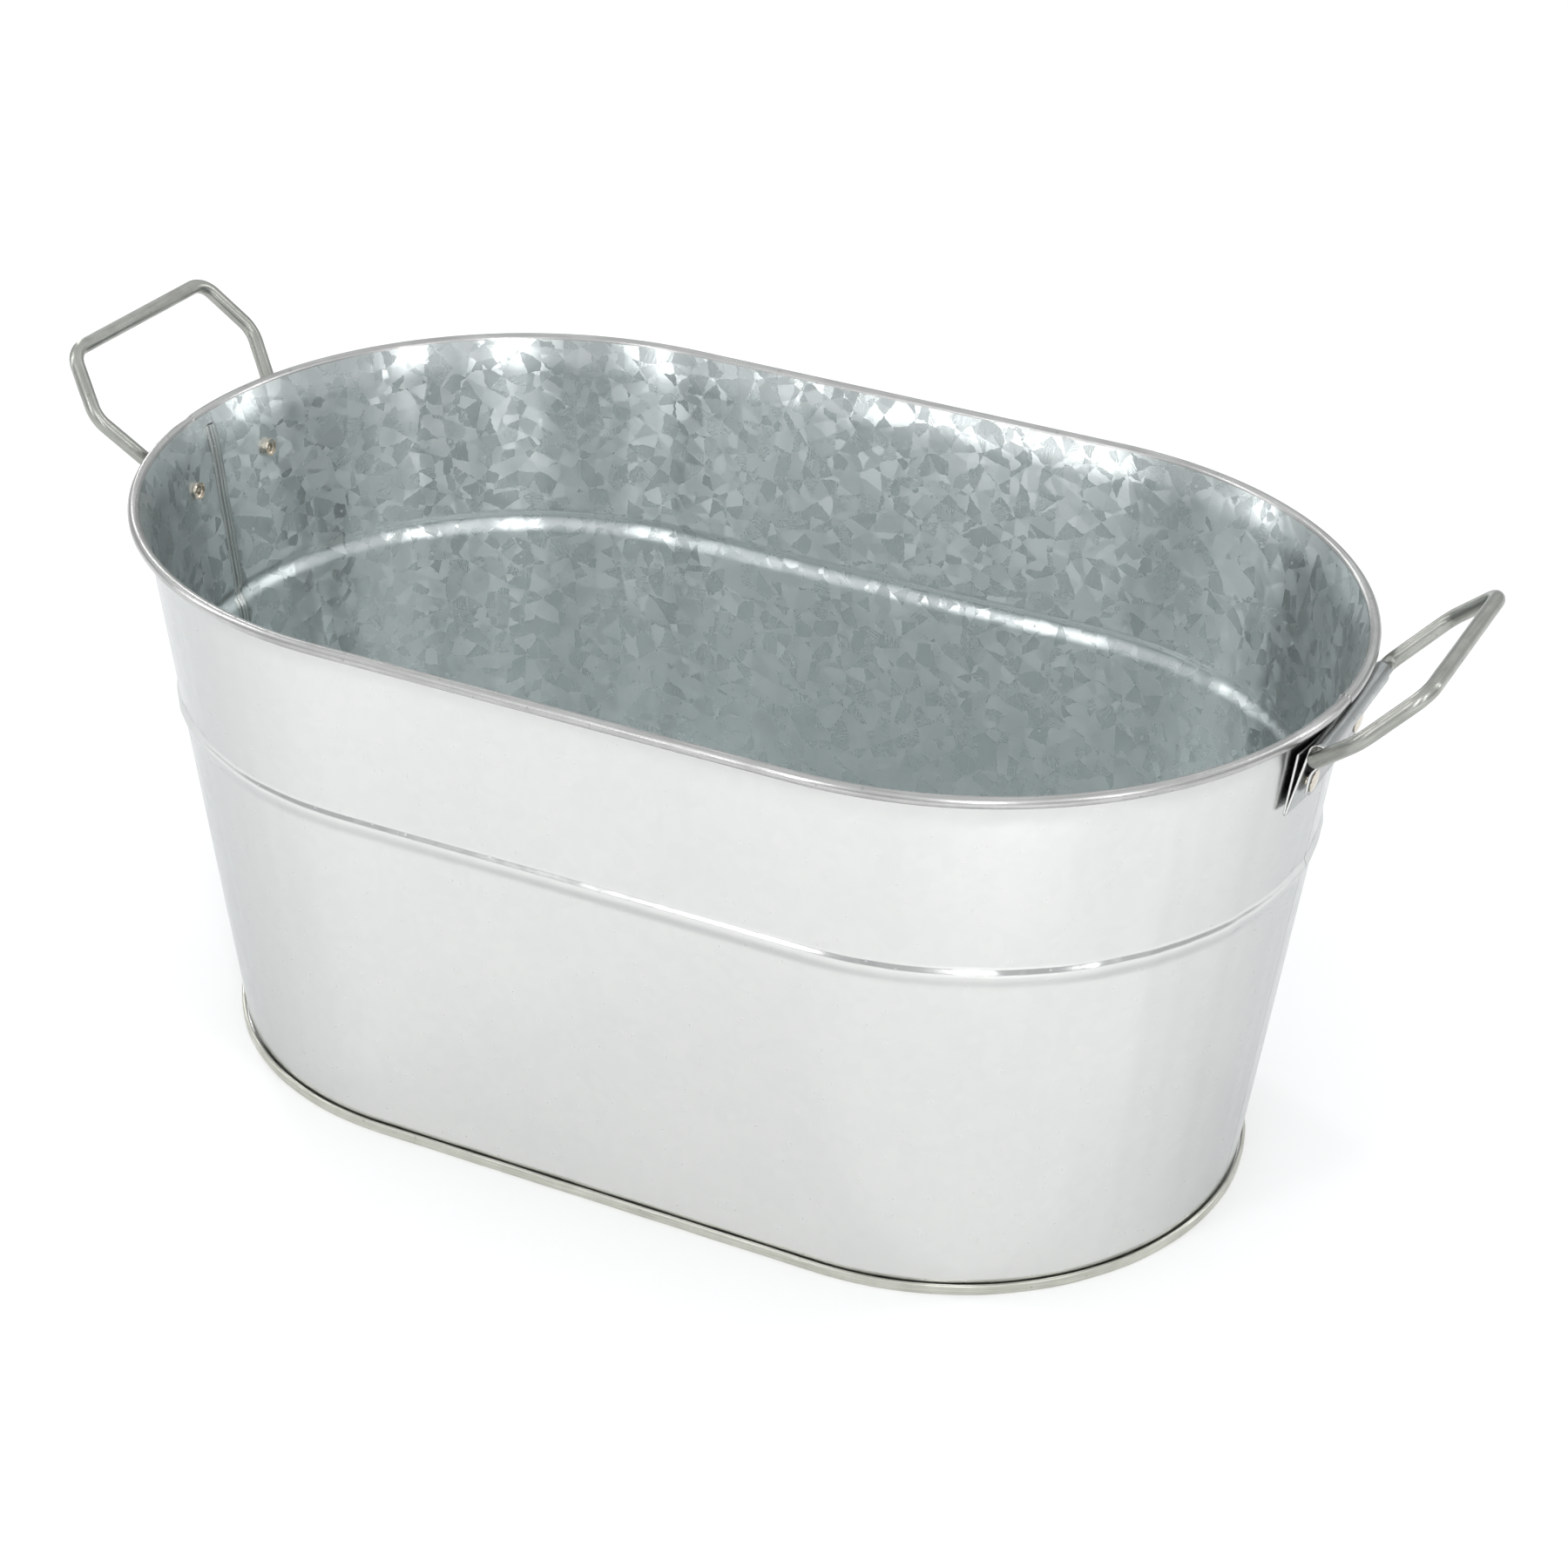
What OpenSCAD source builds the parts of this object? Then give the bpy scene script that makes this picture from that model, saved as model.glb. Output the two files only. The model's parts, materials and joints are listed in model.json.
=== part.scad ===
// Oval galvanised steel tub with two swinging wire handles.
// Millimetres, +Z up. The origin is the centre of the ring that the tub stands on.
// The long axis is X. The front half of the wall is on the -Y side.

/* [Tub] */
// Length over the rolled rim
rim_length = 530; // [400:1:800]
// Width over the rolled rim
rim_width = 324; // [240:1:380]
// Height from the ground to the top of the rim
tub_height = 250; // [180:1:320]
// Width over the seam at the bottom
base_width = 257; // [200:1:320]
// Thickness of the wall and floor sheet
sheet = 0.5; // [0.4:0.05:0.8]
// Radius of the rolled rim, outside
rim_roll_r = 2.4; // [2:0.1:4]

/* [Floor] */
// Height of the double seam that joins the floor to the wall
seam_height = 4.5; // [4:0.5:8]
// How far that seam stands out from the wall line
seam_reach = 3.05; // [2.8:0.05:5]
// Height of the floor above the ground
floor_lift = 3.5; // [2:0.5:4]

/* [Bead] */
// Height of the pressed bead's crest
bead_z = 164; // [80:1:200]
// Height of the bead from edge to edge
bead_height = 11; // [6:0.5:20]
// How far the bead stands out
bead_proud = 1.5; // [0.5:0.1:4]

/* [Side seams] */
// Width of the folded lock seam at each end
lock_width = 5.5; // [4:0.5:10]

/* [Handles] */
// Diameter of the handle wire
wire_d = 6.4; // [4:0.1:7]
// Distance between the bends beside the hinge
hinge_span = 88; // [84:1:110]
// Distance between the bends half way along the arms
middle_span = 111; // [90:1:140]
// Distance between the bends at the grip
grip_span = 90; // [80:1:130]
// From the hinge to the bends half way along
middle_reach = 28; // [20:1:45]
// From the hinge to the grip
grip_reach = 57; // [50:1:90]
// Centre-line radius of the bends beside the hinge
hinge_bend_r = 5.5; // [4:0.5:6]
// Centre-line radius of the bends half way along
middle_bend_r = 14; // [6:0.5:18]
// Centre-line radius of the bends at the grip
grip_bend_r = 10; // [6:0.5:14]
// Slope of the left handle above level
left_angle = 50; // [0:1:88]
// Slope of the right handle above level
right_angle = 44.5; // [0:1:88]

/* [Brackets] */
// How far the left bracket sits round its end towards the back
left_shift = 7.5; // [-12:0.5:12]
// Width of the bracket along the hinge
bracket_width = 76; // [60:1:78]
// Width of the front flap that the rivets hold
flap_width = 66; // [58:1:70]
// Thickness of the bracket strip
strip = 0.75; // [0.5:0.05:1.2]
// Depth of the hinge line below the top of the rim
hinge_drop = 11.5; // [11:0.1:20]
// Depth of the bracket's bottom edge below the top of the rim
bracket_drop = 41; // [36:1:50]
// Radial clearance round the handle wire in the bracket
hinge_clearance = 0.08; // [0.02:0.01:0.1]

/* [Rivets] */
// Distance between the two rivets of a bracket
rivet_spacing = 52; // [40:1:54]
// Depth of the rivets below the top of the rim
rivet_drop = 29.5; // [28:0.5:32]
// Diameter of the rivet shank
rivet_d = 4.4; // [3:0.1:5]
// Diameter of the rivet head
rivet_head_d = 9.4; // [7:0.1:11]
// Thickness of the rivet head
rivet_head_h = 1.3; // [0.8:0.1:2]
// Outside diameter of the flared ring inside the tub
rivet_ring_d = 7.6; // [6:0.1:9]
// Bore of the tubular rivet
rivet_bore_d = 2.6; // [1.5:0.1:2.8]

/* [Hidden] */
$fn = 96;

touch = 0.05;                              // gap left between folded layers
eps = 0.01;                                // overlap of the bodies that make one solid
straight = rim_length - rim_width;         // straight stretch of each long side
end_x = straight / 2;                      // centre of each round end
roll_r = rim_width / 2 - rim_roll_r;       // rim roll centre, from the end centre
roll_z = tub_height - rim_roll_r;
neck_z = tub_height - 7;                   // the wall turns out to the rim above this
wire_r = wire_d / 2;
bend_swell = 0.03;                         // the wire is a touch fatter where it is bent
lap = 0.2;                                 // how far a straight run reaches into a bend

// Middle of the sheet at the ground line and at the rim, from the end centre.
wall_base_r = base_width / 2 - seam_reach;
wall_top_r = roll_r - rim_roll_r - 1.75;
wall_slope = (wall_top_r - wall_base_r) / roll_z;
slope_angle = atan(wall_slope);
function wall_r(z) = wall_base_r + wall_slope * z;
function wall_outer(z) = wall_r(z) + sheet / 2;
function wall_inner(z) = wall_r(z) - sheet / 2;

// The bead rises quickly above its crest and slowly below it, as a cosine wave.
bead_top = bead_z + 0.36 * bead_height;
bead_bottom = bead_z - 0.64 * bead_height;
bead_steps = 8;
function bead(z) =
    z >= bead_top || z <= bead_bottom ? 0
    : z > bead_z ? bead_proud * (1 + cos(180 * (z - bead_z) / (bead_top - bead_z))) / 2
    : bead_proud * (1 + cos(180 * (bead_z - z) / (bead_z - bead_bottom))) / 2;
bead_heights = [
    for (i = [0:bead_steps]) bead_bottom + (bead_z - bead_bottom) * i / bead_steps,
    for (i = [1:bead_steps]) bead_z + (bead_top - bead_z) * i / bead_steps,
];

hinge_z = tub_height - hinge_drop;
rivet_z = tub_height - rivet_drop;
left_turn = asin(left_shift / wall_outer(rivet_z));
bracket_z = tub_height - bracket_drop;
bracket_top = neck_z - 2;                  // top of the leg against the wall
fold_height = 1;                           // height of the fold at the bottom
sleeve_in = wire_r + hinge_clearance;      // the strip round the handle wire
sleeve_out = sleeve_in + strip;
// The sleeve clears the leg that lies against the wall.
hinge_x = end_x + wall_outer(hinge_z) + strip + 0.3 + sleeve_out;
flap_z = rivet_z - 7;                      // bottom edge of the front flap
flap_off = 2.2;                            // gap behind the flap, at the wall's nose
knee_z = rivet_z + rivet_head_d / 2 + 1;   // the flap bends outward above this

// Outline helpers, in the plane of radius and height ----------------------------------

// A band that follows the straight wall line between two offsets from its middle.
module band(inner, outer, low, high) {
    polygon([
        [wall_r(low) + inner, low], [wall_r(low) + outer, low],
        [wall_r(high) + outer, high], [wall_r(high) + inner, high],
    ]);
}

// The sheet with its bead, from the hook at the bottom to the neck.
module sheet_outline() {
    low = sheet + touch;
    polygon(concat(
        [[wall_outer(low), low]],
        [for (z = bead_heights) [wall_outer(z) + bead(z), z]],
        [[wall_outer(neck_z), neck_z]],
        [[wall_inner(neck_z), neck_z]],
        [for (i = [len(bead_heights) - 1:-1:0])
            [wall_inner(bead_heights[i]) + bead(bead_heights[i]), bead_heights[i]]],
        [[wall_inner(low), low]]
    ));
}

// The neck and the roll, which is left open on its inner side below the neck.
module roll_outline() {
    inner = roll_r - rim_roll_r;
    polygon([
        [wall_inner(neck_z), neck_z - eps], [wall_outer(neck_z), neck_z - eps],
        [inner + sheet, roll_z], [inner, roll_z],
    ]);
    translate([roll_r, roll_z]) difference() {
        circle(r = rim_roll_r);
        circle(r = rim_roll_r - sheet);
        polygon([
            [0, 0], [-2 * rim_roll_r, 0],
            [-2 * rim_roll_r, -2 * rim_roll_r], [-0.4 * rim_roll_r, -2 * rim_roll_r],
        ]);
    }
}

// The flange and the hook at the bottom of the wall, held by the floor's edge.
hook_out = base_width / 2 - sheet - touch;
module hook_outline() {
    low = sheet + touch;
    inner = wall_inner(low + sheet);
    translate([inner, low]) square([hook_out - inner, sheet]);
    translate([hook_out - sheet, low]) square([sheet, seam_height - sheet - touch - low]);
}

module wall_outline() {
    sheet_outline();
    roll_outline();
    hook_outline();
}

// The edge of the floor: skirt, lip, upstand, cap and return.
skirt_offset = -sheet / 2 - touch;
module pan_edge_outline() {
    skirt_in = wall_r(0) + skirt_offset - sheet;
    band(skirt_offset - sheet, skirt_offset, 0, floor_lift + sheet);
    translate([skirt_in, 0]) square([base_width / 2 - skirt_in, sheet]);
    translate([base_width / 2 - sheet, 0]) square([sheet, seam_height]);
    return_in = hook_out - 2 * sheet - touch;
    translate([return_in, seam_height - sheet]) square([base_width / 2 - return_in, sheet]);
    translate([return_in, 2 * sheet + 2 * touch])
        square([sheet, seam_height - 2 * sheet - 2 * touch]);
}

// Sweeps round the oval ----------------------------------------------------------------

// Carries an outline round the right-hand end from one angle to another.
module end_sweep(from, to) {
    translate([end_x, 0, 0]) rotate([0, 0, from]) rotate_extrude(angle = to - from) children();
}

// Carries an outline along the straight stretch on the +Y side.
module side_sweep() {
    translate([-end_x - eps, 0, 0]) rotate([90, 0, 90])
        linear_extrude(straight + 2 * eps) children();
}

module both_ends() {
    children();
    mirror([1, 0, 0]) children();
}

// Mirrors a right-hand fitting to the left end, a little way round from its nose.
module at_left_end() {
    mirror([1, 0, 0]) translate([end_x, 0, 0]) rotate([0, 0, left_turn])
        translate([-end_x, 0, 0]) children();
}

// Carries an outline all round.
module full_sweep() {
    both_ends() end_sweep(-90, 90) children();
    side_sweep() children();
    mirror([0, 1, 0]) side_sweep() children();
}

// The wall -------------------------------------------------------------------------------

// The lock seam: four layers of sheet at each end of the tub, where the two halves hook
// into each other. Layer 0 is the wall itself and layer 3 is the innermost.
lock_y = lock_width / 2;
layer = sheet + touch;
lock_low = floor_lift + sheet + 0.6;
lock_high = neck_z - 0.5;
lock_step = 1.5;                           // width of the back half's step beside the seam
lock_angle = asin((lock_y + lock_step / 3) / wall_r(lock_low));   // where its wall begins
function layer_out(n) = sheet / 2 - n * layer;
function layer_in(n) = -sheet / 2 - n * layer;

// The front half folds over at the seam's far edge and comes back as layer 2.
front_fold = [
    [0, lock_y - sheet], [0, lock_y], [layer_in(2), lock_y],
    [layer_in(2), -lock_y + layer], [layer_out(2), -lock_y + layer],
    [layer_out(2), lock_y - sheet],
];
// The back half steps in past it as layer 3, folds over and comes back as layer 1.
back_fold = [
    [0, lock_y + touch], [0, lock_y + lock_step], [layer_in(3), lock_y + lock_step],
    [layer_in(3), -lock_y], [layer_out(1), -lock_y], [layer_out(1), lock_y - layer],
    [layer_in(1), lock_y - layer], [layer_in(1), -lock_y + sheet],
    [layer_out(3), -lock_y + sheet], [layer_out(3), lock_y + touch],
];

// Runs a fold's outline up the sloping wall at the right-hand end.
module up_the_wall(outline) {
    translate([end_x + wall_r(lock_low), 0, lock_low]) rotate([0, slope_angle, 0])
        linear_extrude((lock_high - lock_low) / cos(slope_angle)) polygon(outline);
}

module rivet_hole(y) {
    translate([end_x + wall_outer(rivet_z), y, rivet_z]) rotate([0, 90 + slope_angle, 0])
        cylinder(r = rivet_d / 2 + touch / 2, h = 60, center = true);
}

module wall_holes(side) {
    rivet_hole(side * rivet_spacing / 2);
    at_left_end() rivet_hole(side * rivet_spacing / 2);
}

// Everything on the +Y side of a plane, as far as the tub reaches.
module behind(y) {
    translate([-rim_length, y, -1]) cube([2 * rim_length, rim_width, tub_height + 2]);
}

module front_wall() {
    color("gainsboro") difference() {
        union() {
            both_ends() {
                end_sweep(-90, 3) wall_outline();
                up_the_wall(front_fold);
            }
            mirror([0, 1, 0]) side_sweep() wall_outline();
        }
        behind(lock_y);
        wall_holes(-1);
    }
}

module back_wall() {
    color("gainsboro") difference() {
        union() {
            both_ends() {
                mirror([0, 1, 0]) end_sweep(-90, -lock_angle) wall_outline();
                up_the_wall(back_fold);
            }
            side_sweep() wall_outline();
        }
        wall_holes(1);
    }
}

module floor_pan() {
    plate_r = wall_r(floor_lift) + skirt_offset - sheet / 2;
    color("lightsteelblue") union() {
        full_sweep() pan_edge_outline();
        translate([0, 0, floor_lift]) {
            both_ends() translate([end_x, 0, 0]) cylinder(r = plate_r, h = sheet);
            translate([-end_x, -plate_r, 0]) cube([straight, 2 * plate_r, sheet]);
        }
    }
}

module rim_wire() {
    color("dimgray") full_sweep()
        translate([roll_r, roll_z]) circle(r = rim_roll_r - sheet - touch);
}

// The handles ----------------------------------------------------------------------------

// Corners of the loop in its own plane, X away from the hinge and Y along it,
// in order round the loop, each with its bend radius.
loop_corners = [
    [0, -hinge_span / 2, hinge_bend_r],
    [middle_reach, -middle_span / 2, middle_bend_r],
    [grip_reach, -grip_span / 2, grip_bend_r],
    [grip_reach, grip_span / 2, grip_bend_r],
    [middle_reach, middle_span / 2, middle_bend_r],
    [0, hinge_span / 2, hinge_bend_r],
];
function place(p) = [p[0], p[1]];
function heading(a, b) = atan2(b[1] - a[1], b[0] - a[0]);
function turn(a, b, c) =
    let (d = heading(b, c) - heading(a, b)) d > 180 ? d - 360 : d < -180 ? d + 360 : d;
function cut_back(a, b, c) = b[2] * tan(abs(turn(a, b, c)) / 2);

module bent_loop(corners) {
    n = len(corners);
    for (i = [0:n - 1]) {
        before = corners[(i + n - 1) % n];
        here = corners[i];
        after = corners[(i + 1) % n];
        beyond = corners[(i + 2) % n];
        way = heading(here, after);
        bend = turn(before, here, after);
        start = cut_back(before, here, after);
        run = norm(place(after) - place(here)) - start - cut_back(here, after, beyond);
        // The straight run after this corner, which reaches a little into both bends.
        translate(concat(place(here) + (start - lap) * [cos(way), sin(way)], 0))
            rotate([0, 90, way]) cylinder(r = wire_r, h = run + 2 * lap);
        // The bend at this corner, which turns to the left.
        into = heading(before, here);
        centre = place(here) - start * [cos(into), sin(into)]
            + here[2] * [-sin(into), cos(into)];
        translate(concat(centre, 0)) rotate([0, 0, into - 90])
            rotate_extrude(angle = bend) translate([here[2], 0]) circle(r = wire_r + bend_swell);
    }
}

module handle(angle) {
    translate([hinge_x, 0, hinge_z]) rotate([0, -angle, 0]) bent_loop(loop_corners);
}

module right_handle() {
    color("darkgray") handle(right_angle);
}

module left_handle() {
    color("darkgray") at_left_end() handle(left_angle);
}

// The brackets ---------------------------------------------------------------------------

// How far the round wall falls back from its nose at a distance along the hinge.
function fall_back(y, z) = wall_outer(z) - sqrt(pow(wall_outer(z), 2) - y * y);

// The middle leg is a ruled sheet: its bottom edge follows the round wall inside the fold,
// and its top edge is straight and ends inside the sleeve.
leg_steps = 12;
leg_gap = 0.1;
leg_low_z = bracket_z + fold_height / 2;
leg_low_x = end_x + wall_outer(leg_low_z) + strip + leg_gap;
leg_top_x = hinge_x - sleeve_out + leg_gap;
leg_top_z = hinge_z + leg_gap;
function leg_row(y) = let (low = leg_low_x - fall_back(y, leg_low_z)) [
    [low, y, leg_low_z], [low + strip, y, leg_low_z],
    [leg_top_x + strip - 2 * leg_gap, y, leg_top_z], [leg_top_x, y, leg_top_z],
];
module middle_leg() {
    rows = [for (i = [0:leg_steps]) leg_row(bracket_width * (i / leg_steps - 0.5))];
    polyhedron(
        points = [for (row = rows) each row],
        faces = concat(
            [[3, 2, 1, 0]],
            [for (i = [0:leg_steps - 1], k = [0:3]) let (a = 4 * i, m = (k + 1) % 4)
                [a + m, a + 4 + k, a + k]],
            [for (i = [0:leg_steps - 1], k = [0:3]) let (a = 4 * i, m = (k + 1) % 4)
                [a + 4 + m, a + 4 + k, a + m]],
            [[for (k = [0:3]) 4 * leg_steps + k]]
        )
    );
}

// The front flap lies parallel to the wall where the rivets hold it, and runs from a knee
// above them out to the sleeve, which it meets on a tangent.
knee = [end_x + wall_outer(knee_z) + flap_off, knee_z];
flap_r = sleeve_in + touch;
from_knee = [hinge_x, hinge_z] - knee;
flap_lean = atan2(from_knee[1], from_knee[0]) - asin(flap_r / norm(from_knee)) - 90;
flap_normal = [cos(flap_lean), sin(flap_lean)];
wall_normal = [cos(slope_angle), -sin(slope_angle)];
flap_end = [hinge_x, hinge_z] + 0.3 * [-sin(flap_lean), cos(flap_lean)];
foot = [end_x + wall_outer(flap_z) + flap_off, flap_z];

module front_flap() {
    translate([0, flap_width / 2, 0]) rotate([90, 0, 0]) linear_extrude(flap_width)
        polygon([
            flap_end + flap_r * flap_normal,
            knee,
            foot,
            foot + strip * wall_normal,
            knee + strip * (flap_normal + wall_normal) / (1 + flap_normal * wall_normal),
            flap_end + (sleeve_out - touch) * flap_normal,
        ]);
}

// The sleeve over the wire, round to the place where the flap leaves it.
module sleeve() {
    translate([hinge_x, bracket_width / 2, hinge_z]) rotate([90, 0, 0]) rotate([0, 0, flap_lean])
        rotate_extrude(angle = 180 - flap_lean) translate([sleeve_in, 0])
            square([strip, bracket_width]);
}

module bracket() {
    half = asin(bracket_width / 2 / wall_outer(bracket_z));
    back = sheet / 2 + touch / 2;
    difference() {
        union() {
            // The leg against the wall and the fold at its foot.
            end_sweep(-half, half) {
                band(back, sheet / 2 + strip, bracket_z, bracket_top);
                band(back, sheet / 2 + 2 * strip + 2 * leg_gap, bracket_z,
                    bracket_z + fold_height);
            }
            middle_leg();
            sleeve();
            front_flap();
        }
        for (side = [-1, 1]) rivet_hole(side * rivet_spacing / 2);
    }
}

module right_bracket() {
    color("silver") bracket();
}

module left_bracket() {
    color("silver") at_left_end() bracket();
}

// The rivets -----------------------------------------------------------------------------

// Along a rivet's axis, from the wall's nose: the underside of its head, and its ring.
head_at = flap_off * cos(slope_angle) + strip + eps;
ring_at = -fall_back(rivet_spacing / 2 - rivet_ring_d / 2, rivet_z) - sheet - 1.3;

module rivet(y) {
    translate([end_x + wall_outer(rivet_z), y, rivet_z]) rotate([0, 90 + slope_angle, 0])
        difference() {
            union() {
                translate([0, 0, ring_at - 0.9])
                    cylinder(r = rivet_d / 2, h = head_at + 0.9 - ring_at);
                translate([0, 0, head_at]) cylinder(r = rivet_head_d / 2, h = rivet_head_h);
                translate([0, 0, ring_at - 0.9]) cylinder(r = rivet_ring_d / 2, h = 0.9);
            }
            translate([0, 0, ring_at - 1]) cylinder(r = rivet_bore_d / 2, h = 5);
        }
}

module right_front_rivet() {
    color("tan") rivet(-rivet_spacing / 2);
}

module right_back_rivet() {
    color("tan") rivet(rivet_spacing / 2);
}

module left_front_rivet() {
    color("tan") at_left_end() rivet(-rivet_spacing / 2);
}

module left_back_rivet() {
    color("tan") at_left_end() rivet(rivet_spacing / 2);
}

front_wall();
back_wall();
floor_pan();
rim_wire();
left_bracket();
right_bracket();
left_handle();
right_handle();
left_front_rivet();
left_back_rivet();
right_front_rivet();
right_back_rivet();
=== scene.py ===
# %% [markdown]
# # An oval galvanised tub with two wire handles
# The tub is sheet steel: two bent halves of wall, a floor whose edge is folded round the
# foot of the wall, a rim rolled over a hoop of wire, and at each end a folded bracket that
# holds a wire handle. Everything here is made as the real thing is: a profile of thin
# sheet carried round the oval, a round wire carried along its bends, a rivet turned about
# its axis. The imported frame gives the places of the pieces. The finishes, the lights and
# the small sizes that the frame can't give are chosen.

# %% Load the frame
import json
import math

import bmesh
import bpy
import numpy as np
from mathutils import Matrix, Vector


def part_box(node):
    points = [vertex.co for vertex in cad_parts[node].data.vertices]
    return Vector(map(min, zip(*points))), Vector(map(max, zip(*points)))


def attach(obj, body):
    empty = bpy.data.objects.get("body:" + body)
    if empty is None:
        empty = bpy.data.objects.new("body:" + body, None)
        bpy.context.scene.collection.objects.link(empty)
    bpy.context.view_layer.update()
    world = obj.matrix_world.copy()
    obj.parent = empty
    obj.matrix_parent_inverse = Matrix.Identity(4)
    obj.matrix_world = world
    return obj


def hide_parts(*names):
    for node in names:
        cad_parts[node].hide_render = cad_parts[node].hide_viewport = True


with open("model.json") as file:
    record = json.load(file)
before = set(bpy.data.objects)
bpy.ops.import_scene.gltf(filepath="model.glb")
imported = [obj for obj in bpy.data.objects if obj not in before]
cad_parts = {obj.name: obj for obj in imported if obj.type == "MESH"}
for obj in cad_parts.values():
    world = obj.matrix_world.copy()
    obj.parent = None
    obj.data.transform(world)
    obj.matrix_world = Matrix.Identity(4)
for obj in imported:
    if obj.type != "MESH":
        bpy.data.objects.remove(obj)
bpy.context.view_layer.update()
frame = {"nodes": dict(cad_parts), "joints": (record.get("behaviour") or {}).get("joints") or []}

# %% [markdown]
# ## The view
# The camera comes first, because every other choice is judged through it. It stands to
# the right of the tub's front and looks down over the rim, far away through a long lens,
# so the oval hardly narrows towards the back. Its place is given as a turn and a height
# angle round the middle of the tub's foot, plus a small move within the picture plane.

# %% Camera
view_turn = math.radians(25.79)
view_height = math.radians(30.22)
view_roll = math.radians(1.23)
view_distance = 1.6296
view_shift_right, view_shift_up = 0.0228, 0.1158
view_lens = 84.77

back = np.array([math.sin(view_turn) * math.cos(view_height),
                 -math.cos(view_turn) * math.cos(view_height), math.sin(view_height)])
level_right = np.array([math.cos(view_turn), math.sin(view_turn), 0.0])
level_up = np.cross(back, level_right)
right = math.cos(view_roll) * level_right + math.sin(view_roll) * level_up
up = math.cos(view_roll) * level_up - math.sin(view_roll) * level_right
eye = back * view_distance + right * view_shift_right + up * view_shift_up

camera_data = bpy.data.cameras.new("camera")
camera_data.lens = view_lens
camera = bpy.data.objects.new("camera", camera_data)
pose = np.eye(4)
pose[:3] = np.stack([right, up, back, eye], 1)
camera.matrix_world = Matrix(pose.tolist())
bpy.context.scene.collection.objects.link(camera)
bpy.context.scene.camera = camera
print("camera at", eye.round(3))

# %% [markdown]
# ## Sizes from the frame
# The frame says how big each piece is, so the driving sizes are read from its boxes. The
# few that a box can't give, such as the thickness of the sheet, are named here.

# %% Sizes
SHEET = 0.0005            # thickness of the wall and floor sheet
SEAM_REACH = 0.00305      # the folded foot stands out this far from the wall line
NECK_REACH = 0.00175      # the wall passes this far inside the roll
NECK_DROP = 0.0125        # the wall turns out to the roll this far below the rim
MM = 0.001
SAME_PLACE = 0.000002     # points nearer than this are one point


def box_over(*nodes):
    """Lowest and highest corner of the box round several nodes."""
    corners = np.array([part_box(node) for node in nodes])
    return corners[:, 0].min(0), corners[:, 1].max(0)


wall_high = box_over("front_wall", "back_wall")[1]
wire_low, wire_high = box_over("rim_wire")
pan_high = box_over("floor_pan")[1]
rim_top = wall_high[2]
end_x = wall_high[0] - wall_high[1]            # centre of each round end
roll_z = (wire_low[2] + wire_high[2]) / 2      # height of the roll's centre
roll_size = rim_top - roll_z                   # outside radius of the roll
roll_path = wall_high[1] - roll_size           # the roll's distance from the end centre
foot_r = pan_high[1]                           # outside of the folded foot
foot_height = pan_high[2]
base_r = foot_r - SEAM_REACH
neck_z = rim_top - NECK_DROP
wall_slope = (roll_path - roll_size - NECK_REACH - base_r) / roll_z
print("end centre %.4f roll %.5f foot %.4f slope %.4f"
      % (end_x, roll_size, foot_r, wall_slope))

# %% [markdown]
# ## Making meshes from grids
# Each surface below is an array of points with rows and columns. One helper turns such
# arrays into a mesh: it joins neighbours into four-sided faces, closes the grid where the
# shape runs round into itself, and turns the faces outward by the sign of the volume they
# enclose. A patch also carries its own flat coordinates in metres, so that a finish can
# follow the sheet as it bends.

# %% Grid helpers
def quads(rows, columns, round_rows=False, round_columns=False):
    """Corner numbers of the faces between neighbours of a rows x columns grid."""
    number = np.arange(rows * columns).reshape(rows, columns)
    if round_rows:
        number = np.vstack([number, number[:1]])
    if round_columns:
        number = np.hstack([number, number[:, :1]])
    return np.stack([number[:-1, :-1], number[:-1, 1:], number[1:, 1:], number[1:, :-1]],
                    -1).reshape(-1, 4)


def enclosed(points, faces):
    """Signed volume under the faces: a sum of corner triple products."""
    a, b, c, d = (points[faces[:, k]] for k in range(4))
    return (np.cross(a, b) * c).sum() + (np.cross(a, c) * d).sum()


LONGEST_STEP = 0.01       # the closing step of a flat map is no longer than this


def run_on(flat, axis):
    """Adds a row or column one more step after the last, for a shape that closes."""
    last, before = (np.take(flat, [k], axis) for k in (-1, -2))
    return np.concatenate([flat, last + np.clip(last - before, -LONGEST_STEP,
                                                LONGEST_STEP)], axis)


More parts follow.
